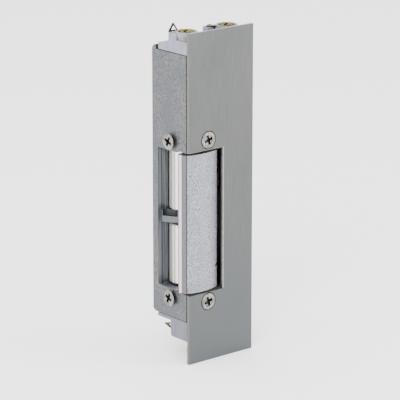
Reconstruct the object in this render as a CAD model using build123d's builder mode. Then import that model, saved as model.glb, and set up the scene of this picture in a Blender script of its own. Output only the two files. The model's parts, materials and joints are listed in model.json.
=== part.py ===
"""Electric door strike: a die-cast case behind a notched faceplate, with a sprung keeper.

Frame: millimetres, +Z up, +X across the faceplate away from the latch side, +Y into the frame.
The origin is the centre of the faceplate's rear face, which seats on the door frame.
"""

import os
from math import cos, radians, sin

from build123d import *

# ---- driving dimensions --------------------------------------------------------------------
PLATE_HEIGHT = 110.0
PLATE_WIDTH = 27.0
PLATE_THICKNESS = 1.1
SEAT_RELIEF = 0.15  # the plate is coined back by this much where the case stands on it

CASE_HEIGHT = 88.2
CASE_MIDDLE = 3.5  # height of the case's middle above the plate's centre
CASE_WIDTH = 25.0
CASE_DEPTH = 17.4
WALL = 1.6
COVER_THICKNESS = 1.0
REAR_LIP_FRONT = 15.4
REAR_LIP_HEIGHT = 1.5
REAR_ROUND = 1.5
LIP_ROUND = 1.8
EDGE_REBATE = 0.3  # step along the case's front left edge, beside the plate

KEEPER_MIDDLE = -7.7
NOTCH_WIDTH = 14.4
NOTCH_HEIGHT = 47.4
NOTCH_CHAMFER = 0.25
KEEPER_HEIGHT = 46.2
POCKET_HEIGHT = 46.4
POCKET_REAR = 14.6

HUB_RADIUS = 5.8
HUB_CLEARANCE = 0.4
AXLE_RADIUS = 1.5
RUNNING = 0.05  # radial clearance of a shaft in its bore
RIB_BOTTOM = -10.0
RIB_TOP = -5.9

FRONT_SCREW_SPACING = 54.2
SIDE_SCREW_SPACING = 52.6
SIDE_SCREW_PROUD = 1.2

# ---- places worked out from them -------------------------------------------------------------
LEFT = -PLATE_WIDTH / 2
FRONT = -PLATE_THICKNESS
CASE_TOP = CASE_MIDDLE + CASE_HEIGHT / 2
CASE_BOTTOM = CASE_MIDDLE - CASE_HEIGHT / 2
CASE_RIGHT = LEFT + CASE_WIDTH
TRAY_RIGHT = CASE_RIGHT - COVER_THICKNESS
CASE_REAR = CASE_DEPTH
INSIDE_LEFT = LEFT + WALL
INSIDE_REAR = CASE_REAR - WALL
INSIDE_TOP = CASE_TOP - WALL
BULKHEAD_TOP = 23.0
BULKHEAD_RIGHT = 2.0
NOTCH_TOP = KEEPER_MIDDLE + NOTCH_HEIGHT / 2
NOTCH_BOTTOM = KEEPER_MIDDLE - NOTCH_HEIGHT / 2
KEEPER_BOTTOM = NOTCH_BOTTOM + 0.35
KEEPER_TOP = KEEPER_BOTTOM + KEEPER_HEIGHT
PIVOT = (-4.9, 10.3)
FRONT_SCREW_X = -5.3
SIDE_SCREW_Y = 8.0
LOWER_PLACE = Plane.XY.offset(CASE_MIDDLE)

SCREW_HEAD_RADIUS = 2.7
COUNTERSINK_RADIUS = 3.05
SCREW_RADIUS = 1.5
SCREW_LAND = 0.15
SCREW_CONE = SCREW_HEAD_RADIUS - SCREW_RADIUS
SCREW_TIP = 0.5
RECESS_TAPER = 4
FRONT_SCREW_LENGTH = 7.0
SIDE_SCREW_LENGTH = 7.2
TAPPED_ROOM = 0.6  # how far a tapped hole runs past its screw
THROUGH = 1.0  # how far a cut runs past the face it leaves by


def block(x, y, z, mode=Mode.ADD):
    """A box between two limits on each axis, joined to the piece being built."""
    with Locations((sum(x) / 2, sum(y) / 2, sum(z) / 2)):
        Box(x[1] - x[0], y[1] - y[0], z[1] - z[0], mode=mode)


def rod(centre, radius, z, mode=Mode.ADD):
    """An upright cylinder between two heights."""
    with Locations((centre[0], centre[1], z[0])):
        Cylinder(radius, z[1] - z[0], align=(Align.CENTER, Align.CENTER, Align.MIN), mode=mode)


def cylinder_on(plane, radius, start, end, mode=Mode.ADD):
    """A cylinder along a plane's normal."""
    with Locations(plane.offset(start).location):
        Cylinder(radius, end - start, align=(Align.CENTER, Align.CENTER, Align.MIN), mode=mode)


def cone_on(plane, wide, narrow, start, end, mode=Mode.ADD):
    """A cone along a plane's normal, wide end first."""
    with Locations(plane.offset(start).location):
        Cone(wide, narrow, end - start, align=(Align.CENTER, Align.CENTER, Align.MIN), mode=mode)


def polar(radius, angle):
    """A point about the keeper's pivot."""
    return (PIVOT[0] + radius * cos(radians(angle)), PIVOT[1] + radius * sin(radians(angle)))


def cross_recess(plane, span, width, depth):
    """A tapered cross cut into a screw head."""
    with BuildSketch(plane) as cross:
        Rectangle(span, width)
        Rectangle(width, span)
        Circle(width * 0.8)
    extrude(cross.sketch, amount=depth, taper=RECESS_TAPER, mode=Mode.SUBTRACT)


def countersunk_screw(plane, length):
    """A flat-head screw whose head face lies on the plane and whose shank follows its normal."""
    neck = SCREW_LAND + SCREW_CONE
    cylinder_on(plane, SCREW_HEAD_RADIUS, 0, SCREW_LAND)
    cone_on(plane, SCREW_HEAD_RADIUS, SCREW_RADIUS, SCREW_LAND, neck)
    cylinder_on(plane, SCREW_RADIUS, neck, length - SCREW_TIP)
    cone_on(plane, SCREW_RADIUS, SCREW_RADIUS - SCREW_TIP, length - SCREW_TIP, length)
    cross_recess(plane, span=3.3, width=0.95, depth=1.3)


def screw_hole(plane, start, depth):
    """The tapped hole under a countersunk screw, with the foot of its countersink."""
    cylinder_on(plane, SCREW_RADIUS + 0.02, start, depth, mode=Mode.SUBTRACT)
    neck = SCREW_LAND + SCREW_CONE + 0.1
    cone_on(plane, SCREW_RADIUS + 0.1 + neck - start, SCREW_RADIUS, start, neck + 0.1, mode=Mode.SUBTRACT)


def screw_planes_front():
    """Head planes of the two faceplate screws."""
    return [
        Plane(
            origin=(FRONT_SCREW_X, FRONT, KEEPER_MIDDLE + side * FRONT_SCREW_SPACING / 2),
            x_dir=(cos(radians(18)), 0, sin(radians(18))),
            z_dir=(0, 1, 0),
        )
        for side in (-1, 1)
    ]


def screw_planes_side():
    """Head planes of the two side screws, which stand proud of the case."""
    return [
        Plane(
            origin=(LEFT - SIDE_SCREW_PROUD, SIDE_SCREW_Y, KEEPER_MIDDLE + side * SIDE_SCREW_SPACING / 2),
            x_dir=(0, cos(radians(24)), sin(radians(24))),
            z_dir=(1, 0, 0),
        )
        for side in (-1, 1)
    ]


# ---- faceplate and its screws ------------------------------------------------------------------
RELIEF_BOTTOM = -48.3
CORNER_ROUND = 0.2


def on_notch(point):
    """Whether an edge's middle lies on the three sides of the notch."""
    side = abs(point.X - LEFT - NOTCH_WIDTH) < 0.01
    ends = abs(point.Z - NOTCH_TOP) < 0.01 or abs(point.Z - NOTCH_BOTTOM) < 0.01
    return side or (ends and point.X < LEFT + NOTCH_WIDTH)


with BuildPart() as faceplate:
    block((LEFT, -LEFT), (FRONT, 0), (-PLATE_HEIGHT / 2, PLATE_HEIGHT / 2))
    block(
        (LEFT - THROUGH, LEFT + NOTCH_WIDTH),
        (FRONT - THROUGH, THROUGH),
        (NOTCH_BOTTOM, NOTCH_TOP),
        mode=Mode.SUBTRACT,
    )
    front_edges = faceplate.edges().group_by(Axis.Y)[0]
    notch_edges = [edge for edge in front_edges if on_notch(edge.center())]
    chamfer(notch_edges, NOTCH_CHAMFER)
    block(
        (LEFT - THROUGH, CASE_RIGHT + 0.2),
        (-SEAT_RELIEF, THROUGH),
        (RELIEF_BOTTOM, PLATE_HEIGHT / 2 + THROUGH),
        mode=Mode.SUBTRACT,
    )
    for place in screw_planes_front():
        cone_on(
            place,
            COUNTERSINK_RADIUS,
            COUNTERSINK_RADIUS - PLATE_THICKNESS,
            0,
            PLATE_THICKNESS,
            mode=Mode.SUBTRACT,
        )
    right_edges = faceplate.edges().filter_by(Axis.Z).group_by(Axis.X)[-1]
    fillet(right_edges, CORNER_ROUND)

with BuildPart() as faceplate_screws:
    for place in screw_planes_front():
        countersunk_screw(place, FRONT_SCREW_LENGTH)

with BuildPart() as side_screws:
    for place in screw_planes_side():
        countersunk_screw(place, SIDE_SCREW_LENGTH)

# ---- case: a die-cast tray that opens to the right, and its cover -----------------------------------
CASE_FRONT = -SEAT_RELIEF
COVER_SCREWS = [(3.0, 44.4), (14.3, 44.4), (3.0, -37.5), (14.3, -37.5)]  # y and z
CORNER_BLOCK = 1.55
CORNER_BLOCK_LEFT = 3.5
LEVER_PIN = (7.0, 14.0)
LINK_PLACES = [(9.8, 6.3), (9.8, 7.7)]
LINK_RADIUS = 0.45
COIL_PIN_PLACES = [(-6.5, 13.1), (1.9, 3.1)]
BLOCK_SCREW = (-1.0, 11.6)
BLOCK_SCREW_HOLE = 1.0
COIL_PIN_HOLE = 0.9
SWING_RADIUS = 11.65  # room for the keeper's right edge as it turns
LEVER_PIN_RADIUS = 1.0
LEVER_LUGS = ((-3.2, 0.8), (13.0, 17.0))
COVER_SCREW_RADIUS = 0.93
SCOOP_LENGTH = 5.2
SCOOP_WIDTH = 3.4
SCOOP_DEPTH = 2.0

with BuildPart() as housing:
    block((LEFT, TRAY_RIGHT), (CASE_FRONT, CASE_REAR), (CASE_BOTTOM, CASE_TOP))
    block((LEFT, TRAY_RIGHT), (REAR_LIP_FRONT, CASE_REAR), (CASE_TOP - 1, CASE_TOP + REAR_LIP_HEIGHT))
    rear_edges = housing.edges().filter_by(Axis.X).group_by(Axis.Y)[-1]
    fillet(rear_edges.sort_by(Axis.Z)[0], REAR_ROUND)
    rear_edges = housing.edges().filter_by(Axis.X).group_by(Axis.Y)[-1]
    fillet(rear_edges.sort_by(Axis.Z)[-1], LIP_ROUND)
    block(
        (LEFT - THROUGH, LEFT + EDGE_REBATE),
        (CASE_FRONT - THROUGH, EDGE_REBATE),
        (CASE_BOTTOM - THROUGH, CASE_TOP + THROUGH),
        mode=Mode.SUBTRACT,
    )
    # compartment for the coil, the column beside the keeper, and the keeper's own room
    block((INSIDE_LEFT, TRAY_RIGHT), (WALL, INSIDE_REAR), (BULKHEAD_TOP, INSIDE_TOP), mode=Mode.SUBTRACT)
    block(
        (BULKHEAD_RIGHT, TRAY_RIGHT),
        (WALL, INSIDE_REAR),
        (CASE_BOTTOM + WALL, BULKHEAD_TOP),
        mode=Mode.SUBTRACT,
    )
    block((PIVOT[0], TRAY_RIGHT), (WALL, INSIDE_REAR), (NOTCH_BOTTOM, NOTCH_TOP), mode=Mode.SUBTRACT)
    rod(PIVOT, HUB_RADIUS + HUB_CLEARANCE, (NOTCH_BOTTOM, NOTCH_TOP), mode=Mode.SUBTRACT)
    # latch bolt pocket through the left wall
    block(
        (LEFT - 1, PIVOT[0]),
        (4.9, POCKET_REAR),
        (KEEPER_MIDDLE - POCKET_HEIGHT / 2, KEEPER_MIDDLE + POCKET_HEIGHT / 2),
        mode=Mode.SUBTRACT,
    )
    # room in front for the keeper, which swings about the pivot behind the plate
    block((LEFT - 1, LEFT + NOTCH_WIDTH), (-1, 5.0), (NOTCH_BOTTOM, NOTCH_TOP), mode=Mode.SUBTRACT)
    with BuildSketch(Plane.XY.offset(NOTCH_BOTTOM)):
        with Locations(PIVOT):
            Circle(SWING_RADIUS)
        with Locations((PIVOT[0] + 10, 0)):
            Rectangle(20, 9, mode=Mode.INTERSECT)
    extrude(amount=NOTCH_HEIGHT, mode=Mode.SUBTRACT)
    # middle rib that carries the axle between the two hub sleeves
    with BuildSketch(Plane.XY.offset(RIB_BOTTOM)):
        with BuildLine():
            Polyline(
                (-12.2, POCKET_REAR + 0.3),
                (-9.0, 9.5),
                (-8.0, 7.9),
                (PIVOT[0], 7.3),
                (-1.2, 9.0),
                (-0.8, INSIDE_REAR + 0.3),
                (-9.4, INSIDE_REAR + 0.3),
                close=True,
            )
        make_face()
    extrude(amount=RIB_TOP - RIB_BOTTOM)
    # scoop along the top of the rib's slanted face
    scoop = Plane(origin=(-10.55, 12.1, RIB_TOP), x_dir=(0.53, -0.848, 0), z_dir=(0, 0, 1))
    with BuildSketch(scoop):
        SlotOverall(SCOOP_LENGTH, SCOOP_WIDTH)
    extrude(amount=-SCOOP_DEPTH, mode=Mode.SUBTRACT)
    # corner blocks for the cover screws, lugs for the lever pin
    for y, z in COVER_SCREWS:
        block(
            (CORNER_BLOCK_LEFT, TRAY_RIGHT),
            (y - CORNER_BLOCK, y + CORNER_BLOCK),
            (z - CORNER_BLOCK, z + CORNER_BLOCK),
        )
        place = Plane(origin=(TRAY_RIGHT, y, z), z_dir=(-1, 0, 0))
        cylinder_on(place, COVER_SCREW_RADIUS + 0.02, 0, 5, mode=Mode.SUBTRACT)
    for lug in LEVER_LUGS:
        block((4.8, 9.2), (12.2, INSIDE_REAR + 0.2), lug)
    rod(LEVER_PIN, LEVER_PIN_RADIUS + 0.02, (LEVER_LUGS[0][0], LEVER_LUGS[1][1]), mode=Mode.SUBTRACT)
    # axle bore, and the tapped holes for the plate and the side screws
    rod(PIVOT, AXLE_RADIUS + 0.02, (-38.0, 21.0), mode=Mode.SUBTRACT)
    for place in screw_planes_front():
        screw_hole(place, PLATE_THICKNESS - SEAT_RELIEF, FRONT_SCREW_LENGTH + TAPPED_ROOM)
    for place in screw_planes_side():
        screw_hole(place, SIDE_SCREW_PROUD, SIDE_SCREW_LENGTH + TAPPED_ROOM)
    # ways through the end walls for wires, pins and the screws of the terminal blocks
    for x, y in COIL_PIN_PLACES:
        rod((x, y), COIL_PIN_HOLE, (INSIDE_TOP - THROUGH, CASE_TOP + THROUGH), mode=Mode.SUBTRACT)
    top_wall = (INSIDE_TOP - THROUGH, CASE_TOP + THROUGH)
    bottom_wall = (CASE_BOTTOM - THROUGH, CASE_BOTTOM + WALL + THROUGH)
    for wall in (top_wall, bottom_wall):
        block((9.0, TRAY_RIGHT + THROUGH), (5.6, 8.4), wall, mode=Mode.SUBTRACT)
        rod(BLOCK_SCREW, BLOCK_SCREW_HOLE, wall, mode=Mode.SUBTRACT)

with BuildPart() as cover:
    block((TRAY_RIGHT, CASE_RIGHT), (CASE_FRONT + 0.15, CASE_REAR), (CASE_BOTTOM, CASE_TOP))
    block((TRAY_RIGHT, CASE_RIGHT), (REAR_LIP_FRONT, CASE_REAR), (CASE_TOP - 1, CASE_TOP + REAR_LIP_HEIGHT))
    fillet(cover.edges().filter_by(Axis.X).group_by(Axis.Y)[-1], REAR_ROUND)
    for y, z in COVER_SCREWS:
        place = Plane(origin=(CASE_RIGHT, y, z), z_dir=(-1, 0, 0))
        cone_on(place, 2.0, 1.05, 0, 0.95, mode=Mode.SUBTRACT)
        cylinder_on(place, 1.05, 0.9, 1.5, mode=Mode.SUBTRACT)

with BuildPart() as cover_screws:
    for y, z in COVER_SCREWS:
        place = Plane(origin=(CASE_RIGHT, y, z), z_dir=(-1, 0, 0))
        cone_on(place, COVER_SCREW_RADIUS * 2, COVER_SCREW_RADIUS, 0, COVER_SCREW_RADIUS)
        cylinder_on(place, COVER_SCREW_RADIUS, 0.9, 5.0)
        cross_recess(place, 2.1, 0.45, 0.7)

# ---- keeper: lip, crowned front, right edge and locking cam, saddled on the hub sleeves ---------------
CAM_BOTTOM = 0.5
CAM_TOP = 9.5
LIP_CORNER = (-13.4, 0.25)
KEEPER_RIGHT = -0.3
SLOT_HEIGHT = -23.2
SLOT_SLANT = 35

with BuildPart() as keeper:
    with BuildSketch(Plane.XY.offset(KEEPER_BOTTOM)):
        with BuildLine():
            ThreePointArc(LIP_CORNER, (-7.2, -0.75), (KEEPER_RIGHT, 0.65))
            Polyline(
                (KEEPER_RIGHT, 0.65),
                (KEEPER_RIGHT, 3.9),
                (-2.0, 5.6),
                (-6.5, 4.8),
                (-13.2, 4.5),
                (-14.2, 3.5),
                (-14.0, 2.0),
                LIP_CORNER,
            )
        make_face()
    extrude(amount=KEEPER_HEIGHT)
    # cam: its end rests against the locking lever's nose
    with BuildSketch(Plane.XY.offset(CAM_BOTTOM)):
        Polygon(
            polar(5.0, -66),
            (-0.3, 3.7),
            (0.1, 5.2),
            (0.1, 6.3),
            polar(5.0, -40),
            align=None,
        )
    extrude(amount=CAM_TOP - CAM_BOTTOM)
    rod(PIVOT, HUB_RADIUS + 0.02, (KEEPER_BOTTOM - 1, KEEPER_TOP + 1), mode=Mode.SUBTRACT)
    # small slanted slot in the right edge
    slot = Plane(
        origin=(KEEPER_RIGHT, 0.6, SLOT_HEIGHT),
        x_dir=(cos(radians(SLOT_SLANT)), 0, sin(radians(SLOT_SLANT))),
        z_dir=(0, -1, 0),
    )
    with BuildSketch(slot):
        Rectangle(2.2, 0.8)
    extrude(amount=3, both=True, mode=Mode.SUBTRACT)
    lip_corner = keeper.edges().filter_by(Axis.Z).sort_by_distance((*LIP_CORNER, KEEPER_MIDDLE))[0]
    chamfer(lip_corner, 0.2)


HUB_GAP = 0.4  # between a sleeve and the rib
SPRING_WELL_RADIUS = 3.9
AXLE_ENDS = (-37.8, 20.8)


def hub_sleeve(bottom, top, spring_room):
    """A bright sleeve that turns on the axle."""
    with BuildPart() as sleeve:
        rod(PIVOT, HUB_RADIUS, (bottom, top))
        chamfer(sleeve.edges().filter_by(GeomType.CIRCLE).group_by(Axis.Z)[0], 0.6)
        chamfer(sleeve.edges().filter_by(GeomType.CIRCLE).group_by(Axis.Z)[-1], 0.3)
        rod(PIVOT, AXLE_RADIUS + RUNNING, (bottom - 1, top + 1), mode=Mode.SUBTRACT)
        if spring_room:
            rod(PIVOT, SPRING_WELL_RADIUS, (bottom - 1, bottom + spring_room), mode=Mode.SUBTRACT)
    return sleeve


hub_sleeve_lower = hub_sleeve(-30.7, RIB_BOTTOM - HUB_GAP, 7.0)
hub_sleeve_upper = hub_sleeve(RIB_TOP + HUB_GAP, 15.4, 0)

with BuildPart() as keeper_axle:
    rod(PIVOT, AXLE_RADIUS, AXLE_ENDS)
    chamfer(keeper_axle.edges().filter_by(GeomType.CIRCLE), 0.3)


def coil_spring(centre, radius, wire, bottom, top, turns):
    """A round-wire coil spring with an upright axis."""
    height = top - bottom - wire
    with BuildPart() as spring:
        with BuildLine() as path:
            Helix(height / turns, height, radius, center=(centre[0], centre[1], bottom + wire / 2))
        with BuildSketch(Plane(origin=path.line @ 0, z_dir=path.line % 0)):
            Circle(wire / 2)
        sweep(is_frenet=True)
    return spring


keeper_spring = coil_spring(PIVOT, 2.9, 0.8, NOTCH_BOTTOM + 0.05, -23.9, 6)

# ---- locking lever, its pin, its finger and its spring -----------------------------------------------
LEVER_BOTTOM = 1.2
LEVER_TOP = 8.8
NOSE = polar(6.75, -39.7)
FINGER = (4.0, 6.5)
FINGER_RADIUS = 0.75
FINGER_TOP = 28.9

with BuildPart() as locking_lever:
    with BuildSketch(Plane.XY.offset(LEVER_BOTTOM)):
        with Locations(LEVER_PIN):
            Circle(1.7)
        with Locations(FINGER):
            Circle(1.15)
        with BuildLine():
            Polyline(
                NOSE,
                (NOSE[0] + 1.9, NOSE[1] - 0.2),
                (FINGER[0], FINGER[1] - 1.0),
                (FINGER[0] + 1.0, FINGER[1]),
                (LEVER_PIN[0] + 1.5, LEVER_PIN[1] - 0.6),
                (LEVER_PIN[0] - 1.5, LEVER_PIN[1] + 0.6),
                (NOSE[0] + 1.2, NOSE[1] + 1.8),
                close=True,
            )
        make_face()
    extrude(amount=LEVER_TOP - LEVER_BOTTOM)
    rod(LEVER_PIN, LEVER_PIN_RADIUS + RUNNING, (LEVER_BOTTOM - 1, LEVER_TOP + 1), mode=Mode.SUBTRACT)
    rod(FINGER, FINGER_RADIUS, (LEVER_BOTTOM + 2, LEVER_TOP + 1), mode=Mode.SUBTRACT)

with BuildPart() as lever_finger:
    rod(FINGER, FINGER_RADIUS, (LEVER_BOTTOM + 2, FINGER_TOP))
    chamfer(lever_finger.edges().filter_by(GeomType.CIRCLE).group_by(Axis.Z)[-1], 0.15)

with BuildPart() as lever_pin:
    rod(LEVER_PIN, LEVER_PIN_RADIUS, (-3.0, 16.8))

lever_spring = coil_spring(LEVER_PIN, 1.32, 0.4, LEVER_TOP + 0.15, 12.85, 6)

# ---- coil, core, yoke and armature ----------------------------------------------------------------------
COIL = (-3.2, 8.75)
COIL_PIN_RADIUS = 0.35
COIL_PIN_BOTTOM = 38.4
YOKE_BOTTOM = BULKHEAD_TOP
YOKE_SHEET = 1.6
COIL_BOTTOM = YOKE_BOTTOM + YOKE_SHEET
COIL_TOP = 41.0
WINDING_BOTTOM = COIL_BOTTOM + 1.0
WINDING_TOP = 38.0
CORE_TOP = 41.6
CORE_RADIUS = 2.5
TUBE_RADIUS = 3.3
WINDING_RADIUS = 5.6
FLANGE_HALF = 6.0
FLANGE_DEPTH = (2.5, 14.8)
YOKE_DEPTH = (3.2, 14.3)
EAR_TOP = 44.0
YOKE_TOP = 41.0
HINGE_PIN_RADIUS = 0.6
ARMATURE_SHEET = (41.7, 43.1)
BUS_BOTTOM = 48.2
YOKE_LEFT = -11.2
HINGE = (-10.4, 42.6)  # x, z of the armature's pin
REST_TILT = 5.0
TOOTH = (4.95, 6.25)

with BuildPart() as yoke:
    block((YOKE_LEFT, 2.8), YOKE_DEPTH, (YOKE_BOTTOM, COIL_BOTTOM))
    block((YOKE_LEFT, YOKE_LEFT + YOKE_SHEET), YOKE_DEPTH, (YOKE_BOTTOM, YOKE_TOP))
    for ear in ((YOKE_DEPTH[0], 4.4), (13.1, YOKE_DEPTH[1])):
        block((YOKE_LEFT, YOKE_LEFT + YOKE_SHEET), ear, (YOKE_TOP, EAR_TOP))
    hinge_line = Plane(origin=(HINGE[0], YOKE_DEPTH[0], HINGE[1]), z_dir=(0, 1, 0))
    cylinder_on(hinge_line, HINGE_PIN_RADIUS + 0.02, -1, 13, mode=Mode.SUBTRACT)
    rod(COIL, 1.3, (YOKE_BOTTOM - 1, COIL_BOTTOM + 1), mode=Mode.SUBTRACT)
    with Locations((COIL[0], COIL[1], YOKE_BOTTOM)):
        Cone(2.5, 1.3, 1.2, align=(Align.CENTER, Align.CENTER, Align.MIN), mode=Mode.SUBTRACT)

with BuildPart() as core:
    rod(COIL, CORE_RADIUS, (COIL_BOTTOM, CORE_TOP))
    rod(COIL, 1.27, (COIL_BOTTOM, COIL_BOTTOM + 7.2), mode=Mode.SUBTRACT)

with BuildPart() as core_screw:
    place = Plane(origin=(COIL[0], COIL[1], YOKE_BOTTOM + 0.05), z_dir=(0, 0, 1))
    cone_on(place, 2.4, 1.25, 0, 1.15)
    cylinder_on(place, 1.25, 1.1, 8.0)
    cross_recess(place, 2.6, 0.5, 0.8)

with BuildPart() as bobbin:
    flange_width = (COIL[0] - FLANGE_HALF, COIL[0] + FLANGE_HALF)
    block(flange_width, FLANGE_DEPTH, (COIL_BOTTOM, WINDING_BOTTOM))
    block(flange_width, FLANGE_DEPTH, (WINDING_TOP, COIL_TOP))
    fillet(bobbin.edges().filter_by(Axis.Z), 1.0)
    rod(COIL, TUBE_RADIUS, (COIL_BOTTOM, COIL_TOP))
    rod(COIL, CORE_RADIUS + 0.05, (COIL_BOTTOM - 1, COIL_TOP + 1), mode=Mode.SUBTRACT)
    rod(COIL, 3.75, (38.6, COIL_TOP + 1), mode=Mode.SUBTRACT)
    for x, y in COIL_PIN_PLACES:
        rod((x, y), COIL_PIN_RADIUS, (COIL_PIN_BOTTOM, COIL_TOP + 1), mode=Mode.SUBTRACT)

with BuildPart() as winding:
    rod(COIL, WINDING_RADIUS, (WINDING_BOTTOM, WINDING_TOP))
    rod(COIL, TUBE_RADIUS, (WINDING_BOTTOM - 1, WINDING_TOP + 1), mode=Mode.SUBTRACT)

# the armature is drawn on planes tilted to its rest position, lifted off the core
TILT = Plane(
    origin=(HINGE[0], 0, HINGE[1]),
    x_dir=(cos(radians(REST_TILT)), 0, sin(radians(REST_TILT))),
    z_dir=(0, -1, 0),
)


def armature_slab(x, z, y, mode=Mode.ADD):
    """A slab of the armature, given where it stands when drawn down onto the core."""
    with BuildSketch(TILT.offset(-y[1])) as outline:
        with Locations(((x[0] + x[1]) / 2 - HINGE[0], (z[0] + z[1]) / 2 - HINGE[1])):
            Rectangle(x[1] - x[0], z[1] - z[0])
    extrude(outline.sketch, amount=y[1] - y[0], mode=mode)


with BuildPart() as armature:
    armature_slab((HINGE[0], 3.4), ARMATURE_SHEET, (4.7, 12.4))
    armature_slab((3.0, TOOTH[1]), ARMATURE_SHEET, (5.3, 9.0))
    armature_slab(TOOTH, (28.0, ARMATURE_SHEET[1]), (5.3, 8.2))
    cylinder_on(hinge_line, 1.35, 1.5, 9.2)
    cylinder_on(hinge_line, HINGE_PIN_RADIUS + RUNNING, 0.8, 9.8, mode=Mode.SUBTRACT)

with BuildPart() as armature_pin:
    cylinder_on(hinge_line, HINGE_PIN_RADIUS, 0.05, 11.05)

armature_spring = coil_spring(COIL, 3.1, 0.45, 38.62, 41.95, 4)

with BuildPart() as coil_pins:
    for x, y in COIL_PIN_PLACES:
        rod((x, y), COIL_PIN_RADIUS, (COIL_PIN_BOTTOM, BUS_BOTTOM))

# ---- terminal blocks: strips, plastic block, clamp washers and brass screws -----------------------------
TERMINALS = [(-9.4, 5.1), (7.4, 5.1)]
BASE_TOP = CASE_TOP + 2.4
STRIP_BOTTOM = 50.2
STRIP_TOP = 50.7
BUS = (BUS_BOTTOM, BUS_BOTTOM + 0.5)
TOWER_TOP = 51.9
NECK_TOP = 53.0
WEB_TOP = 54.0
RIM_TOP = 54.5
BLOCK_FRONT = 0.15
TOWER_REAR = 9.3
TOWER_HALF = 3.9
WEB_FRONT = 5.3
SHELF_LEFT = 0.9
WELL_RADIUS = 2.8
NECK_RADIUS = 3.25
RIM_RADIUS = 3.6
WIRE_WAY_RADIUS = 0.95
FOOT_UNDERCUT = 0.45
FOOT_GAP = 0.3
HEAD_RADIUS = 2.6
HEAD_FOOT = 53.1
HEAD_TOP = 54.7
BLOCK_REAR = 14.4
LOWER_TOWER_REAR = 8.6
LOWER_BLOCK_REAR = 15.2
LOWER_BASE_TOP = CASE_TOP + 1.4
TAG_SHEET = 0.4
TAG_FOOT = 54.0
TAG_HEIGHT = 2.7
LOWER_TAG_MIDDLE = 51.2
REAR_TAG_LENGTH = 3.9


def strip_body(terminal, bus_y, coil_pin):
    """Contact strip: clamped under the screw, dropping to a bus that meets a link wire."""
    x, y = terminal
    link_x = LINK_PLACES[0][0]
    block((x - 2.1, x + 2.1), (2.8, 7.2), (STRIP_BOTTOM, STRIP_TOP))
    leg = (x - 2.1, x - 1.6) if x < 0 else (x + 1.2, x + 1.7)
    block(leg, (bus_y - 0.3, bus_y + 0.3), (BUS[0], STRIP_TOP))
    block(leg, (5, bus_y + 0.3), (STRIP_BOTTOM, STRIP_TOP))
    near = min(leg[0], coil_pin[0] - 0.3) if coil_pin else leg[0]
    block((near, link_x + 0.4), (bus_y - 0.3, bus_y + 0.3), BUS)
    if coil_pin:
        branch = sorted((bus_y, coil_pin[1] + (0.4 if coil_pin[1] > bus_y else -0.4)))
        block((coil_pin[0] - 0.3, coil_pin[0] + 0.3), tuple(branch), BUS)
    rod(terminal, 1.27, (STRIP_BOTTOM - 1, STRIP_TOP + 1), mode=Mode.SUBTRACT)


def pointed_tag(plane, half_width, height, window):
    """A pointed solder tag with a three-cornered eye."""
    with BuildSketch(plane) as outline:
        Polygon((-half_width, 0), (half_width, 0), (0.15, height), (-0.15, height), align=None)
        Polygon(*window, align=None, mode=Mode.SUBTRACT)
    extrude(outline.sketch, amount=TAG_SHEET)


def upright_tag(terminal, reach):
    """The strip's edge carried out behind the tower and up into a standing tag."""
    x = terminal[0]
    block((x - 3.2, x - 1.9), (6.0, 6.9), (STRIP_BOTTOM, STRIP_TOP))
    block((x - 3.2, x - 2.5), (6.0, reach), (STRIP_BOTTOM, STRIP_TOP))
    block((x - 3.2, x - 2.5), (reach - TAG_SHEET, reach), (STRIP_BOTTOM, TAG_FOOT + 0.1))
    pointed_tag(
        Plane(origin=(x - 1.7, reach, TAG_FOOT), x_dir=(1, 0, 0), z_dir=(0, -1, 0)),
        2.0,
        TAG_HEIGHT,
        [(-0.95, 0.4), (1.3, 0.4), (0.1, 2.0)],
    )


def rear_tag(terminal):
    """The strip's edge carried straight out behind the block, ending in a tag on edge."""
    x = terminal[0]
    root = LOWER_TOWER_REAR + 0.2
    block((x - 3.2, x - 1.9), (6.0, 6.9), (STRIP_BOTTOM, STRIP_TOP))
    block((x - 3.2, x - 2.2), (6.0, root + 0.2), (STRIP_BOTTOM, STRIP_TOP))
    pointed_tag(
        Plane(origin=(x - 3.2, root, LOWER_TAG_MIDDLE), x_dir=(0, 0, -1), z_dir=(1, 0, 0)),
        1.25,
        REAR_TAG_LENGTH,
        [(-0.5, 0.7), (0.5, 0.7), (0.0, 1.9)],
    )


with BuildPart() as upper_left_strip:
    strip_body(TERMINALS[0], LINK_PLACES[1][1], COIL_PIN_PLACES[0])
    upright_tag(TERMINALS[0], 9.8)

with BuildPart() as upper_right_strip:
    strip_body(TERMINALS[1], LINK_PLACES[0][1], COIL_PIN_PLACES[1])
    block((3.3, 5.5), (6.0, 6.5), (STRIP_BOTTOM, STRIP_TOP))
    block((3.3, 3.8), (6.0, 6.5), (STRIP_BOTTOM, WEB_TOP + TAG_SHEET))
    pointed_tag(
        Plane(origin=(3.8, 7.9, WEB_TOP), x_dir=(0, 1, 0), z_dir=(0, 0, 1)),
        1.9,
        TAG_HEIGHT,
        [(-0.7, 0.5), (0.7, 0.5), (0.0, 1.7)],
    )


def lower_strip(terminal, bus_y):
    """The mirrored strip, whose tag sticks out to the rear."""
    with BuildPart() as strip:
        strip_body(terminal, bus_y, None)
        rear_tag(terminal)
        mirror(about=LOWER_PLACE, mode=Mode.REPLACE)
    return strip


lower_left_strip = lower_strip(TERMINALS[0], LINK_PLACES[1][1])
lower_right_strip = lower_strip(TERMINALS[1], LINK_PLACES[0][1])


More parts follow.
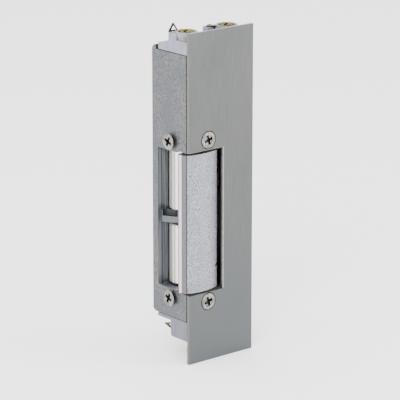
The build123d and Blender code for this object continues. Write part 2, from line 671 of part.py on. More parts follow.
def block_cuts(strips):
    """Screw wells, wire ways and slots that both terminal blocks share."""
    for x, y in TERMINALS:
        rod((x, y), WELL_RADIUS, (STRIP_BOTTOM, RIM_TOP + 1), mode=Mode.SUBTRACT)
        rod((x, y), 1.35, (BUS[1], STRIP_TOP), mode=Mode.SUBTRACT)
        way_in = Plane(origin=(x, y, STRIP_TOP + 1.0), z_dir=(0, 1, 0))
        cylinder_on(way_in, WIRE_WAY_RADIUS, 0, 6, mode=Mode.SUBTRACT)
    rod(BLOCK_SCREW, 1.1, (CASE_TOP - 1, RIM_TOP), mode=Mode.SUBTRACT)
    for strip in strips:
        add(strip, mode=Mode.SUBTRACT)
    # the buses drop in from below, so their slots run out of the block's foot
    block((-11.65, 10.6), (7.35, 8.05), (CASE_TOP - 1, BUS[1]), mode=Mode.SUBTRACT)
    block((1.5, 10.6), (5.95, 6.65), (CASE_TOP - 1, BUS[1]), mode=Mode.SUBTRACT)
    for place in LINK_PLACES:
        rod(place, LINK_RADIUS + RUNNING, (CASE_TOP - 1, BUS[1]), mode=Mode.SUBTRACT)
    # the foot is undercut at both sides, which leaves a shadow line along the case
    for side in (LEFT, CASE_RIGHT):
        block(
            (side - 0.2 - FOOT_UNDERCUT, side + 0.2 + FOOT_UNDERCUT),
            (-THROUGH, CASE_REAR),
            (CASE_TOP - THROUGH, CASE_TOP + FOOT_GAP),
            mode=Mode.SUBTRACT,
        )


def base_step(rear, top):
    """The block's foot, flat on the end of the case."""
    block((LEFT + 0.2, CASE_RIGHT - 0.2), (BLOCK_FRONT, rear), (CASE_TOP, top))


with BuildPart() as upper_terminal_block:
    base_step(BLOCK_REAR, BASE_TOP)
    for x, y in TERMINALS:
        block((x - TOWER_HALF, x + TOWER_HALF), (BLOCK_FRONT, TOWER_REAR), (CASE_TOP, TOWER_TOP))
        block((x - TOWER_HALF, x + TOWER_HALF), (WEB_FRONT, TOWER_REAR), (TOWER_TOP, WEB_TOP))
        rod((x, y), NECK_RADIUS, (TOWER_TOP, NECK_TOP))
        rod((x, y), RIM_RADIUS, (NECK_TOP, RIM_TOP))
    block((SHELF_LEFT, TERMINALS[1][0]), (6.9, TOWER_REAR), (TOWER_TOP - 0.5, WEB_TOP))
    block((-5.6, 3.6), (BLOCK_FRONT, TOWER_REAR), (CASE_TOP, BASE_TOP + 1.4))
    block_cuts([upper_left_strip.part, upper_right_strip.part])
    block((-6.9, -6.1), (7.4, 13.55), (CASE_TOP - 1, BUS[1]), mode=Mode.SUBTRACT)
    block((1.5, 2.3), (2.65, 6.6), (CASE_TOP - 1, BUS[1]), mode=Mode.SUBTRACT)

lower_strips = [mirror(strip.part, about=LOWER_PLACE) for strip in (lower_left_strip, lower_right_strip)]
with BuildPart() as lower_terminal_block:
    base_step(LOWER_BLOCK_REAR, LOWER_BASE_TOP)
    for x, y in TERMINALS:
        width = (x - TOWER_HALF, x + TOWER_HALF)
        block(width, (BLOCK_FRONT, LOWER_TOWER_REAR), (CASE_TOP, RIM_TOP - 0.1))
    block((-5.6, 3.6), (BLOCK_FRONT, LOWER_TOWER_REAR), (CASE_TOP, BASE_TOP + 1.4))
    fillet(lower_terminal_block.edges().filter_by(Axis.X).group_by(Axis.Z)[-1].group_by(Axis.Y)[-1], 1.0)
    block_cuts(lower_strips)
    mirror(about=LOWER_PLACE, mode=Mode.REPLACE)


def terminal_screws():
    """Two slotted cheese-head screws."""
    with BuildPart() as screws:
        for x, y in TERMINALS:
            rod((x, y), HEAD_RADIUS, (HEAD_FOOT, HEAD_TOP))
            rod((x, y), 1.25, (48.9, HEAD_FOOT + 0.1))
            with BuildSketch(Plane(origin=(x, y, HEAD_TOP), x_dir=(cos(radians(35)), sin(radians(35)), 0))):
                Rectangle(6, 0.8)
            extrude(amount=-0.6, mode=Mode.SUBTRACT)
    return screws


def clamp_washers():
    """Two square-cut clamp washers under the screw heads."""
    with BuildPart() as washers:
        for x, y in TERMINALS:
            rod((x, y), 2.4, (HEAD_FOOT - 0.4, HEAD_FOOT))
            rod((x, y), 1.3, (52.0, 54.0), mode=Mode.SUBTRACT)
    return washers


upper_terminal_screws = terminal_screws()
upper_clamp_washers = clamp_washers()
with BuildPart() as lower_terminal_screws:
    add(terminal_screws().part)
    mirror(about=LOWER_PLACE, mode=Mode.REPLACE)
with BuildPart() as lower_clamp_washers:
    add(clamp_washers().part)
    mirror(about=LOWER_PLACE, mode=Mode.REPLACE)


def block_screw(seat):
    """A pan-head screw through a block's foot into the case."""
    rod(BLOCK_SCREW, 1.8, (seat, seat + 1.1))
    rod(BLOCK_SCREW, 0.98, (45.0, seat))
    cross_recess(Plane(origin=(*BLOCK_SCREW, seat + 1.1), z_dir=(0, 0, -1)), 2.2, 0.5, 0.7)


with BuildPart() as lower_block_screw:
    block_screw(LOWER_BASE_TOP)
    mirror(about=LOWER_PLACE, mode=Mode.REPLACE)
with BuildPart() as block_screws:
    block_screw(BASE_TOP)
    add(lower_block_screw.part)

with BuildPart() as link_wires:
    for x, y in LINK_PLACES:
        rod((x, y), LINK_RADIUS, (2 * CASE_MIDDLE - BUS[0], BUS[0]))

# ---- export ---------------------------------------------------------------------------------------------
PIECES = {
    "faceplate": faceplate,
    "faceplate_screws": faceplate_screws,
    "side_screws": side_screws,
    "housing": housing,
    "cover": cover,
    "cover_screws": cover_screws,
    "keeper": keeper,
    "hub_sleeve_upper": hub_sleeve_upper,
    "hub_sleeve_lower": hub_sleeve_lower,
    "keeper_axle": keeper_axle,
    "keeper_spring": keeper_spring,
    "locking_lever": locking_lever,
    "lever_finger": lever_finger,
    "lever_pin": lever_pin,
    "lever_spring": lever_spring,
    "yoke": yoke,
    "core": core,
    "core_screw": core_screw,
    "bobbin": bobbin,
    "winding": winding,
    "coil_pins": coil_pins,
    "armature": armature,
    "armature_pin": armature_pin,
    "armature_spring": armature_spring,
    "upper_terminal_block": upper_terminal_block,
    "upper_left_strip": upper_left_strip,
    "upper_right_strip": upper_right_strip,
    "upper_clamp_washers": upper_clamp_washers,
    "upper_terminal_screws": upper_terminal_screws,
    "lower_terminal_block": lower_terminal_block,
    "lower_left_strip": lower_left_strip,
    "lower_right_strip": lower_right_strip,
    "lower_clamp_washers": lower_clamp_washers,
    "lower_terminal_screws": lower_terminal_screws,
    "block_screws": block_screws,
    "link_wires": link_wires,
}

os.makedirs("parts", exist_ok=True)
for label, piece in PIECES.items():
    piece.part.label = label
    export_step(piece.part, f"parts/{label}.step")
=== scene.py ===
import json
from math import radians

import bmesh
import bpy
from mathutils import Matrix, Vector


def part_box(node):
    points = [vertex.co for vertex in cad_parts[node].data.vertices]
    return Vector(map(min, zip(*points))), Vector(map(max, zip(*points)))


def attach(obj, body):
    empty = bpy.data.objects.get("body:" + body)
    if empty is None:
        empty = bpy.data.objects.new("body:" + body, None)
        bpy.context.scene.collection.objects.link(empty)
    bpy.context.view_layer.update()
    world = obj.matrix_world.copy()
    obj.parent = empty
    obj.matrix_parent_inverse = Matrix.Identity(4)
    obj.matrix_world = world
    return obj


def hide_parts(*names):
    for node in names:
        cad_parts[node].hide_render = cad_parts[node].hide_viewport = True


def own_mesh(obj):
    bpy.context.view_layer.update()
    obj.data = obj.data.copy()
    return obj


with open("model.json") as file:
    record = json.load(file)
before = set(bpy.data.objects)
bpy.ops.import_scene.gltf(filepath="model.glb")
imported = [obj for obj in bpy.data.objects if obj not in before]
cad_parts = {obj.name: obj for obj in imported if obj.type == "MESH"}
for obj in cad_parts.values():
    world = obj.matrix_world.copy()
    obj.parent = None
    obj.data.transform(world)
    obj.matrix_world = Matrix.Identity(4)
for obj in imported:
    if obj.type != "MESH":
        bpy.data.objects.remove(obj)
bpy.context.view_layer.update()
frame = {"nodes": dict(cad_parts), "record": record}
NODES = frame["nodes"]
BODIES = frame["record"]["behaviour"]["bodies"]
SLOT_OF = {entry["node"]: entry["material_slot"] for entry in frame["record"]["subparts"]}
BODY_OF = {node: body for body, members in BODIES.items() for node in members}
MM_PER_M = 1000

# Places on the object in millimetres: each pair is where one finish ends and the next is full.
# "across" is x from left to right, "deep" is y from front to rear, and "up" is z.
PLATE_SHADE = (0, -45)
# PLATE_LEFT_EDGE splits the darker left edge from the cut faces that carry a painted highlight.
PLATE_LEFT_EDGE = (-13.3, -13.1)
POCKET_LEFT = (-13.45, -13.35)
POCKET_FRONT, POCKET_REAR = (4.0, 4.3), (16.0, 15.8)
POCKET_BOTTOM, POCKET_TOP = (-31.6, -31.5), (16.1, 16.0)
RIB_BOTTOM, RIB_TOP = (-10.1, -10.2), (-5.9, -5.8)
RIB_REAR = (14.4, 14.5)
# The next four lines place the painted shade in the rib's scoop.
SCOOP_BOTTOM, SCOOP_TOP = (-8.0, -7.8), (-5.86, -5.9)
SCOOP_FRONT, SCOOP_REAR = (9.3, 9.5), (14.7, 14.5)
SCOOP_NORMAL, SCOOP_POINT = (-0.86, -0.51, 0.0), (-10.55, 12.1, 0.0)
SCOOP_DEPTH = (-0.05, -0.12)
LIP_SIDE = (-13.40, -13.46)
# LIP_REAR starts the painted shadow where the sleeve meets the lip.
LIP_RIDGE, LIP_REAR = (1.9, 2.2), (3.1, 3.25)
# The next two lines bound the painted shade of a groove along the keeper's front corner.
CORNER_SHADE_LEFT, CORNER_SHADE_RIGHT = (-13.46, -13.42), (-13.16, -13.2)
CORNER_SHADE_DEPTH = (0.9, 0.7)
# SLEEVE_SIDE ends the sleeve's painted highlight, and the next line bounds its painted dark
# reflection band.
SLEEVE_SIDE = (9.5, 9.8)
SLEEVE_BAND_FRONT, SLEEVE_BAND_REAR = (9.2, 9.4), (9.85, 9.65)
BLOCK_GREY = (-20, 20)

# The span that most of a noise texture's values fall in
BULK = (0.35, 0.65)


# ---- materials: every pattern is laid out in millimetres of the object's own space -------------
class Surface:
    """A Principled material with small helpers for procedural patterns."""

    def __init__(self, name, color, metallic=1.0, roughness=0.4, anisotropic=0.0):
        self.mat = bpy.data.materials.new(name)
        self.mat.use_nodes = True
        self.tree = self.mat.node_tree
        self.shader = self.tree.nodes["Principled BSDF"]
        self.shader.inputs["Base Color"].default_value = (*color, 1)
        self.shader.inputs["Metallic"].default_value = metallic
        self.shader.inputs["Roughness"].default_value = roughness
        self.shader.inputs["Anisotropic"].default_value = anisotropic
        self.coords = self.tree.nodes.new("ShaderNodeTexCoord").outputs["Object"]
        self.normal = None

    def link(self, a, b):
        self.tree.links.new(a, b)

    def space(self, x, y, z):
        """Object space in millimetres, times a scale on each axis."""
        node = self.tree.nodes.new("ShaderNodeMapping")
        node.inputs["Scale"].default_value = (MM_PER_M * x, MM_PER_M * y, MM_PER_M * z)
        self.link(self.coords, node.inputs["Vector"])
        return node.outputs["Vector"]

    def noise(self, scale, detail=3.0, rough=0.5):
        """Noise with this many features per millimetre, on all axes or on each in turn."""
        node = self.tree.nodes.new("ShaderNodeTexNoise")
        node.inputs["Scale"].default_value = 1.0
        node.inputs["Detail"].default_value = detail
        node.inputs["Roughness"].default_value = rough
        vector = self.space(*(scale if isinstance(scale, tuple) else (scale,) * 3))
        self.link(vector, node.inputs["Vector"])
        return node.outputs["Fac"]

    def cells(self, scale):
        """Distance to the nearest of this many points per millimetre."""
        node = self.tree.nodes.new("ShaderNodeTexVoronoi")
        node.inputs["Scale"].default_value = 1.0
        self.link(self.space(scale, scale, scale), node.inputs["Vector"])
        return node.outputs["Distance"]

    def axes(self):
        """The object's own x, y and z in millimetres."""
        node = self.tree.nodes.new("ShaderNodeSeparateXYZ")
        self.link(self.space(1, 1, 1), node.inputs["Vector"])
        return node.outputs["X"], node.outputs["Y"], node.outputs["Z"]

    def remap(self, value, low, high, out_low, out_high):
        node = self.tree.nodes.new("ShaderNodeMapRange")
        node.inputs["From Min"].default_value = low
        node.inputs["From Max"].default_value = high
        node.inputs["To Min"].default_value = out_low
        node.inputs["To Max"].default_value = out_high
        self.link(value, node.inputs["Value"])
        return node.outputs["Result"]

    def fade(self, value, start, end):
        """0 up to the start, 1 from the end on, and straight between them."""
        return self.remap(value, start, end, 0, 1)

    def blend(self, factor, a, b):
        """A colour between a and b, each a colour or a socket."""
        node = self.tree.nodes.new("ShaderNodeMix")
        node.data_type = "RGBA"
        self.link(factor, node.inputs["Factor"])
        for socket, value in ((node.inputs[6], a), (node.inputs[7], b)):
            if isinstance(value, tuple):
                socket.default_value = (*value, 1)
            else:
                self.link(value, socket)
        return node.outputs[2]

    def height_over(self, normal, point):
        """Distance in millimetres over a plane through a point."""
        shift = self.tree.nodes.new("ShaderNodeVectorMath")
        shift.operation = "SUBTRACT"
        shift.inputs[1].default_value = point
        self.link(self.space(1, 1, 1), shift.inputs[0])
        dot = self.tree.nodes.new("ShaderNodeVectorMath")
        dot.operation = "DOT_PRODUCT"
        dot.inputs[1].default_value = normal
        self.link(shift.outputs["Vector"], dot.inputs[0])
        return dot.outputs["Value"]

    def product(self, a, b):
        node = self.tree.nodes.new("ShaderNodeMath")
        node.operation = "MULTIPLY"
        self.link(a, node.inputs[0])
        self.link(b, node.inputs[1])
        return node.outputs[0]

    def either(self, a, b):
        """A mask that is full wherever one of two masks is."""
        return self.blend(a, b, (1.0, 1.0, 1.0))

    def color(self, socket):
        self.link(socket, self.shader.inputs["Base Color"])

    def roughness(self, socket):
        self.link(socket, self.shader.inputs["Roughness"])

    def bump(self, height, distance_mm):
        """Relief over whatever bump came before."""
        node = self.tree.nodes.new("ShaderNodeBump")
        node.inputs["Distance"].default_value = distance_mm / MM_PER_M
        node.inputs["Strength"].default_value = 1.0
        self.link(height, node.inputs["Height"])
        if self.normal is not None:
            self.link(self.normal, node.inputs["Normal"])
        self.normal = node.outputs["Normal"]
        self.link(self.normal, self.shader.inputs["Normal"])


def plate_steel():
    """Fine upright grain, a little warmer in patches and greyer towards the foot."""
    s = Surface("plate_steel", (0.36, 0.365, 0.37), roughness=0.42, anisotropic=0.35)
    grain = s.noise((9.0, 9.0, 0.12), 5, 0.6)
    broad = s.noise((0.05, 0.05, 0.03), 2)
    fine = s.blend(s.fade(grain, 0.3, 0.7), (0.066, 0.068, 0.069), (0.120, 0.123, 0.123))
    _, _, up = s.axes()
    warm = s.blend(s.remap(broad, *BULK, 0, 0.35), fine, (0.125, 0.124, 0.120))
    s.color(s.blend(s.remap(up, *PLATE_SHADE, 0, 0.7), warm, (0.088, 0.097, 0.102)))
    s.roughness(s.remap(grain, 0.3, 0.7, 0.36, 0.5))
    s.bump(grain, 0.012)
    return s.mat


def plate_edge():
    """Sheared edges: darker along the left edge, and brighter inside the notch, where the
    brightness is a painted highlight of the cut edge catching light.
    """
    s = Surface("plate_edge", (0.5, 0.49, 0.46), roughness=0.5)
    shear = s.noise((0.8, 6.0, 0.8), 4, 0.6)
    across, _, _ = s.axes()
    outer = s.blend(s.fade(shear, *BULK), (0.105, 0.101, 0.088), (0.185, 0.178, 0.155))
    inner = s.blend(s.fade(shear, *BULK), (0.20, 0.195, 0.175), (0.34, 0.335, 0.31))
    # The cut faces away from the left edge, the notch's among them, carry a painted highlight.
    s.color(s.blend(s.fade(across, *PLATE_LEFT_EDGE), outer, inner))
    s.roughness(s.remap(shear, *BULK, 0.42, 0.62))
    s.bump(shear, 0.02)
    return s.mat


def painted_gap_shade():
    """Painted shade: the dark ring round each flush screw head, and the notch's lower edge under
    the keeper.
    """
    s = Surface("painted_gap_shade", (0.06, 0.055, 0.05), roughness=0.55)
    burr = s.noise(2.2, 3, 0.6)
    s.color(s.blend(s.fade(burr, *BULK), (0.022, 0.020, 0.017), (0.060, 0.056, 0.048)))
    s.roughness(s.remap(burr, *BULK, 0.5, 0.7))
    s.bump(burr, 0.01)
    return s.mat


def zinc_casting():
    """Mottled casting, brighter in the latch pocket, with painted shade making the rib's scoop
    dark.
    """
    s = Surface("zinc_casting", (0.36, 0.38, 0.4), roughness=0.5)
    mottle = s.noise(1.1, 6, 0.75)
    cloud = s.noise(0.16, 4, 0.6)
    grain = s.noise(4.5, 3, 0.7)
    stripes = s.noise((1.3, 1.3, 0.015), 2, 0.5)
    across, deep, up = s.axes()
    base = s.blend(s.fade(mottle, 0.36, 0.64), (0.044, 0.046, 0.050), (0.180, 0.183, 0.189))
    tint = s.blend(s.remap(cloud, 0.40, 0.62, 0, 0.75), base, (0.088, 0.096, 0.108))
    skin = s.blend(s.remap(grain, 0.5, 0.72, 0.0, 0.5), tint, (0.24, 0.242, 0.245))
    inner = s.blend(s.fade(stripes, 0.42, 0.58), (0.080, 0.092, 0.112), (0.235, 0.255, 0.290))
    above = s.either(s.fade(up, *RIB_TOP), s.fade(up, *RIB_BOTTOM))
    off_rib = s.either(s.fade(deep, *RIB_REAR), above)
    room = s.product(s.fade(deep, *POCKET_FRONT), s.fade(deep, *POCKET_REAR))
    storey = s.product(s.fade(up, *POCKET_BOTTOM), s.fade(up, *POCKET_TOP))
    pocket = s.product(s.product(s.fade(across, *POCKET_LEFT), room), storey)
    bright = s.blend(s.product(pocket, off_rib), skin, inner)
    # Painted shade: the rib's scoop is painted near black where shadow falls in it.
    scoop = s.product(s.fade(up, *SCOOP_BOTTOM), s.fade(up, *SCOOP_TOP))
    depth = s.height_over(SCOOP_NORMAL, SCOOP_POINT)
    within = s.product(s.fade(deep, *SCOOP_FRONT), s.fade(deep, *SCOOP_REAR))
    scoop_shade_mask = s.product(s.product(scoop, s.fade(depth, *SCOOP_DEPTH)), within)
    scoop_painted_shade = s.product(scoop_shade_mask, s.remap(grain, 0.3, 0.7, 0.95, 0.8))
    s.color(s.blend(scoop_painted_shade, bright, (0.028, 0.030, 0.034)))
    s.roughness(s.remap(mottle, *BULK, 0.42, 0.6))
    s.bump(mottle, 0.04)
    s.bump(grain, 0.03)
    return s.mat


def zinc_sheet():
    """Spangled plating on the sheet cover."""
    s = Surface("zinc_sheet", (0.45, 0.47, 0.49), roughness=0.38)
    flakes = s.cells(0.22)
    grain = s.noise((1.0, 1.0, 14.0), 3)
    tone = s.blend(s.fade(flakes, 0.1, 0.9), (0.22, 0.23, 0.245), (0.31, 0.325, 0.34))
    s.color(tone)
    s.roughness(s.remap(flakes, 0.1, 0.9, 0.3, 0.46))
    s.bump(grain, 0.01)
    return s.mat


def keeper_steel():
    """Sparkling cast front, two smoother lip facets painted as a lit one and a dimmer one, a dark
    line of painted groove shade beside them, and a painted shadow where the sleeve meets the lip.
    """
    s = Surface("keeper_steel", (0.62, 0.62, 0.62), roughness=0.5)
    grain = s.noise(2.7, 5, 0.85)
    pits = s.cells(3.6)
    broad = s.noise(0.18, 3)
    base = s.blend(s.fade(grain, 0.38, 0.60), (0.028, 0.028, 0.035), (0.44, 0.445, 0.485))
    front = s.blend(s.remap(broad, 0.4, 0.68, 0, 0.3), base, (0.165, 0.168, 0.185))
    across, deep, _ = s.axes()
    speckle = s.remap(grain, 0.45, 0.62, 0, 0.4)
    # The lip's two facets are painted as lit and dimmer copies: the rear one carries a painted
    # highlight.
    lip_painted_dimmer = s.blend(speckle, (0.095, 0.090, 0.106), (0.28, 0.265, 0.29))
    lip_painted_highlight = s.blend(s.remap(grain, 0.42, 0.6, 0, 0.5), (0.52, 0.43, 0.45), (0.64, 0.58, 0.59))
    lip = s.blend(s.fade(deep, *LIP_RIDGE), lip_painted_dimmer, lip_painted_highlight)
    # Painted shadow: the lip facets darken behind LIP_REAR, where the sleeve meets the lip.
    lip_painted_shadow = s.blend(s.remap(deep, *LIP_REAR, 0, 0.85), lip, (0.05, 0.048, 0.05))
    faced = s.blend(s.fade(across, *LIP_SIDE), front, lip_painted_shadow)
    # Painted shade: a dark line along the front corner stands in for a groove's shadow.
    corner_shade_strip = s.product(s.fade(across, *CORNER_SHADE_RIGHT), s.fade(across, *CORNER_SHADE_LEFT))
    line = s.product(corner_shade_strip, s.remap(deep, *CORNER_SHADE_DEPTH, 0, 0.85))
    s.color(s.blend(line, faced, (0.012, 0.011, 0.012)))
    s.roughness(s.remap(grain, 0.3, 0.7, 0.38, 0.62))
    s.bump(grain, 0.07)
    s.bump(pits, 0.035)
    return s.mat


def nickel():
    """Bright screws with a few smears."""
    s = Surface("nickel", (0.72, 0.69, 0.64), roughness=0.2)
    smears = s.noise((0.8, 0.8, 0.5), 4, 0.6)
    turned = s.noise((0.3, 0.3, 9.0), 3)
    s.color(s.blend(s.fade(smears, 0.4, 0.62), (0.115, 0.108, 0.100), (0.27, 0.26, 0.245)))
    s.roughness(s.remap(smears, *BULK, 0.14, 0.32))
    s.bump(turned, 0.008)
    return s.mat


def drawn_nickel():
    """The sleeves: a painted highlight in front, a painted dark reflection band, and streaked
    behind it.
    """
    s = Surface("drawn_nickel", (0.5, 0.49, 0.47), roughness=0.22)
    streaks = s.noise((0.85, 0.85, 0.012), 2, 0.5)
    lines = s.noise((6.0, 6.0, 0.05), 3)
    _, deep, _ = s.axes()
    # The bright front tone is a painted highlight and the dark band a painted reflection, laid
    # along the sleeve's depth.
    sleeve_painted_highlight = s.blend(s.remap(lines, *BULK, 0, 0.5), (0.60, 0.56, 0.61), (0.78, 0.75, 0.78))
    dull = s.blend(s.fade(streaks, 0.42, 0.58), (0.40, 0.385, 0.33), (0.62, 0.60, 0.53))
    tone = s.blend(s.fade(deep, *SLEEVE_SIDE), sleeve_painted_highlight, dull)
    band = s.product(s.fade(deep, *SLEEVE_BAND_FRONT), s.fade(deep, *SLEEVE_BAND_REAR))
    shade = s.product(band, s.remap(lines, 0.2, 0.5, 0.5, 0.8))
    s.color(s.blend(shade, tone, (0.14, 0.14, 0.16)))
    s.roughness(s.remap(deep, *SLEEVE_SIDE, 0.22, 0.5))
    s.bump(lines, 0.006)
    return s.mat


def plain_steel(name, low, high, rough):
    """Steel with light wear, for pieces that are mostly hidden."""
    s = Surface(name, high, roughness=rough)
    wear = s.noise(0.9, 4, 0.6)
    s.color(s.blend(s.fade(wear, *BULK), low, high))
    s.roughness(s.remap(wear, *BULK, rough - 0.08, rough + 0.12))
    s.bump(s.noise(6.0, 2), 0.01)
    return s.mat


def block_plastic():
    """Pale plastic, greyer on the lower terminal block."""
    s = Surface("block_plastic", (0.42, 0.42, 0.47), metallic=0.0, roughness=0.42)
    cloud = s.noise(0.35, 3)
    grey_cloud = s.noise((0.3, 0.3, 0.1), 2)
    clean = s.blend(s.fade(cloud, *BULK), (0.138, 0.141, 0.176), (0.180, 0.183, 0.222))
    grey = s.blend(s.fade(grey_cloud, *BULK), (0.076, 0.077, 0.102), (0.100, 0.101, 0.130))
    _, _, up = s.axes()
    s.color(s.blend(s.fade(up, *BLOCK_GREY), grey, clean))
    s.shader.inputs["Subsurface Weight"].default_value = 0.08
    s.shader.inputs["Subsurface Radius"].default_value = (0.0006, 0.0006, 0.0007)
    s.roughness(s.remap(cloud, *BULK, 0.36, 0.5))
    s.bump(s.noise(7.0, 3), 0.012)
    return s.mat


def plain_plastic(name, low, high, rough):
    """Plain plastic with a faint cloud, for pieces that are mostly hidden."""
    s = Surface(name, high, metallic=0.0, roughness=rough)
    cloud = s.noise(0.8, 3)
    s.color(s.blend(s.fade(cloud, *BULK), low, high))
    s.roughness(s.remap(cloud, *BULK, rough - 0.05, rough + 0.1))
    s.bump(s.noise(6.0, 3), 0.01)
    return s.mat


def winding_wire():
    """Copper turns of the winding."""
    s = Surface("winding_wire", (0.5, 0.16, 0.06), metallic=0.6, roughness=0.3)
    turns = s.noise((0.15, 0.15, 5.0), 1)
    s.color(s.blend(s.fade(turns, *BULK), (0.25, 0.06, 0.02), (0.62, 0.24, 0.1)))
    s.bump(turns, 0.05)
    return s.mat


def brass():
    """Tarnished brass with bright flecks."""
    s = Surface("brass", (0.78, 0.58, 0.28), roughness=0.26)
    tarnish = s.noise(0.42, 3, 0.6)
    fleck = s.noise(2.4, 3, 0.6)
    tone = s.blend(s.fade(tarnish, 0.44, 0.54), (0.175, 0.143, 0.058), (0.018, 0.014, 0.004))
    s.color(s.blend(s.remap(fleck, 0.50, 0.62, 0, 0.75), tone, (0.50, 0.44, 0.24)))
    s.shader.inputs["Specular Tint"].default_value = (0.58, 0.51, 0.29, 1)
    s.roughness(s.remap(fleck, *BULK, 0.16, 0.36))
    s.bump(s.noise(8.0, 2), 0.01)
    return s.mat


FINISHES = {
    "plate_steel": plate_steel(),
    "zinc_casting": zinc_casting(),
    "zinc_sheet": zinc_sheet(),
    "keeper_steel": keeper_steel(),
    "nickel": nickel(),
    "steel": plain_steel("steel", (0.40, 0.40, 0.41), (0.56, 0.56, 0.56), 0.3),
    "spring_steel": plain_steel("spring_steel", (0.30, 0.30, 0.32), (0.48, 0.48, 0.49), 0.28),
    "coil_plastic": plain_plastic("coil_plastic", (0.02, 0.02, 0.022), (0.05, 0.05, 0.055), 0.45),
    "winding_wire": winding_wire(),
    "tinned": plain_steel("tinned", (0.020, 0.018, 0.016), (0.075, 0.070, 0.062), 0.3),
    "block_plastic": block_plastic(),
    "brass": brass(),
    "wire_sleeve": plain_plastic("wire_sleeve", (0.40, 0.02, 0.02), (0.55, 0.04, 0.03), 0.35),
}


DRAWN = drawn_nickel()
SHEARED = plate_edge()
GAP_SHADE = painted_gap_shade()


# ---- every CAD node takes its finish; outer pieces get softened edges --------------------------
EDGE_ANGLE = radians(32)
EDGE_SEGMENTS = 2
FLAT_ANGLE = radians(0.6)
MERGE_DISTANCE = 2e-6
# A face that looks more to the front than this is the plate's own surface, not a cut.
FRONT_FACING = 0.9
# A countersink lies this close to the screws' box, and no further than this from its ends.
SCREW_MARGIN = 0.0006
SCREW_REACH = 0.006
# Beside the screws, each cut beyond this height gets painted shade: the lower countersink and the
# notch's lower edge, under the keeper. Nearer, a face that looks up or down more than END_FACING
# is left out.
DARK_BEYOND = 0.03
END_FACING = 0.705


def finish_node(node):
    mesh = NODES[node].data
    mesh.materials.clear()
    mesh.materials.append(DRAWN if node.startswith("hub_sleeve") else FINISHES[SLOT_OF[node]])


def stand_in(node, mesh, suffix):
    """A visible piece that rides where the CAD node does and takes its place."""
    obj = bpy.data.objects.new(f"{node}_{suffix}", mesh)
    bpy.context.scene.collection.objects.link(obj)
    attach(obj, BODY_OF[node])
    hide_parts(node)
    return obj


def softened(node, width_mm):
    """A visible copy of a CAD node with small rounded edges, which stands for it."""
    mesh = NODES[node].data.copy()
    bm = bmesh.new()
    bm.from_mesh(mesh)
    bmesh.ops.remove_doubles(bm, verts=bm.verts, dist=MERGE_DISTANCE)
    bmesh.ops.dissolve_limit(bm, angle_limit=FLAT_ANGLE, verts=bm.verts, edges=bm.edges)
    bm.to_mesh(mesh)
    bm.free()
    if "custom_normal" in mesh.attributes:
        mesh.attributes.remove(mesh.attributes["custom_normal"])
    mesh.shade_smooth()
    mesh.set_sharp_from_angle(angle=EDGE_ANGLE)
    obj = stand_in(node, mesh, "soft")
    bevel = obj.modifiers.new("edges", "BEVEL")
    bevel.width = width_mm / MM_PER_M
    bevel.segments = EDGE_SEGMENTS
    bevel.limit_method = "ANGLE"
    bevel.angle_limit = EDGE_ANGLE
    bevel.use_clamp_overlap = True
    bevel.harden_normals = True
    return obj


def pressed_spring(node):
    """A visible copy of the spring, with its own mesh, that stands for the CAD node."""
    obj = stand_in(node, NODES[node].data.copy(), "pressed")
    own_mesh(obj)


def shear_edges(obj):
    """The plate's cut faces take the sheared finish, and those by its screws painted shade."""
    obj.data.materials.append(SHEARED)
    obj.data.materials.append(GAP_SHADE)
    low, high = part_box("faceplate_screws")
    for face in obj.data.polygons:
        if abs(face.normal.y) > FRONT_FACING:
            continue
        across, up = face.center.x, face.center.z
        beside = low.x - SCREW_MARGIN < across < high.x + SCREW_MARGIN
        ended = up < low.z + SCREW_REACH or up > high.z - SCREW_REACH
        # Painted shade on the countersinks round the heads and on the notch's lower edge below
        # the keeper.
        in_painted_shade = beside and (abs(up) > DARK_BEYOND or ended and abs(face.normal.z) < END_FACING)
        face.material_index = 2 if in_painted_shade else 1


for name in NODES:
    finish_node(name)
shear_edges(softened("faceplate", 0.10))
for name, width_mm in (
    ("housing", 0.22),
    ("keeper", 0.12),
    ("cover", 0.08),
    ("upper_terminal_block", 0.14),
    ("lower_terminal_block", 0.14),
):
    softened(name, width_mm)
pressed_spring("armature_spring")


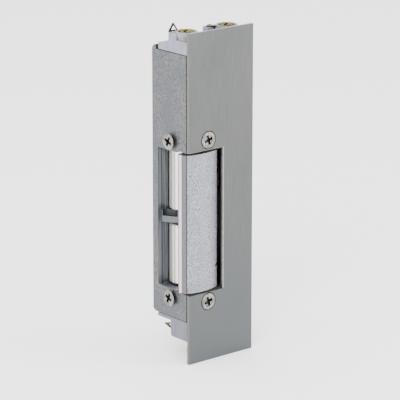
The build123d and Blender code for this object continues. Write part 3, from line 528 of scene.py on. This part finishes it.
# ---- studio ------------------------------------------------------------------------------------
FLOOR_SIZE = 12.0
FLOOR_COLOR = (0.97, 0.97, 0.97)
FLOOR_CLOUD = 1.02
WORLD_STRENGTH = 2.6
LIGHTS = (
    # name, place, width and height, power in watts
    ("key", (-0.75, -0.55, 0.75), (0.55, 0.55), 16),
    ("left", (-0.9, 0.15, 0.15), (0.35, 0.9), 7),
    ("right", (0.75, -0.8, 0.35), (0.5, 0.8), 9),
)
CAMERA_PLACE = (-0.4844, -0.5700, 0.2094)
CAMERA_TILT, CAMERA_TURN = 74.24, -39.89
CAMERA_LENS = 216


def floor_material():
    """A pale floor with a faint cloud in it."""
    s = Surface("floor", FLOOR_COLOR, metallic=0.0, roughness=0.7)
    lighter = tuple(min(1.0, c * FLOOR_CLOUD) for c in FLOOR_COLOR)
    s.color(s.blend(s.noise(0.01, 2), FLOOR_COLOR, lighter))
    return s.mat


def floor(height):
    material = floor_material()
    mesh = bpy.data.meshes.new("floor")
    h = FLOOR_SIZE / 2
    mesh.from_pydata([(-h, -h, 0), (h, -h, 0), (h, h, 0), (-h, h, 0)], [], [(0, 1, 2, 3)])
    mesh.materials.append(material)
    obj = bpy.data.objects.new("floor", mesh)
    obj.location = (0, 0, height)
    bpy.context.scene.collection.objects.link(obj)


def area_light(name, location, size, power):
    """A rectangular light that faces the object."""
    data = bpy.data.lights.new(name, "AREA")
    data.shape = "RECTANGLE"
    data.size, data.size_y = size
    data.energy = power
    obj = bpy.data.objects.new(name, data)
    obj.location = location
    obj.rotation_euler = (-Vector(location)).to_track_quat("-Z", "Y").to_euler()
    bpy.context.scene.collection.objects.link(obj)


floor(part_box("faceplate")[0].z)

world = bpy.data.worlds.new("studio")
world.use_nodes = True
background = world.node_tree.nodes["Background"]
background.inputs["Color"].default_value = (1, 1, 1, 1)
background.inputs["Strength"].default_value = WORLD_STRENGTH
bpy.context.scene.world = world

for light in LIGHTS:
    area_light(*light)

camera_data = bpy.data.cameras.new("camera")
camera_data.lens = CAMERA_LENS
camera_data.sensor_width = 36
camera_data.clip_start = 0.01
camera_data.dof.use_dof = False
camera = bpy.data.objects.new("camera", camera_data)
camera.location = CAMERA_PLACE
camera.rotation_euler = (radians(CAMERA_TILT), 0, radians(CAMERA_TURN))
bpy.context.scene.collection.objects.link(camera)
bpy.context.scene.camera = camera
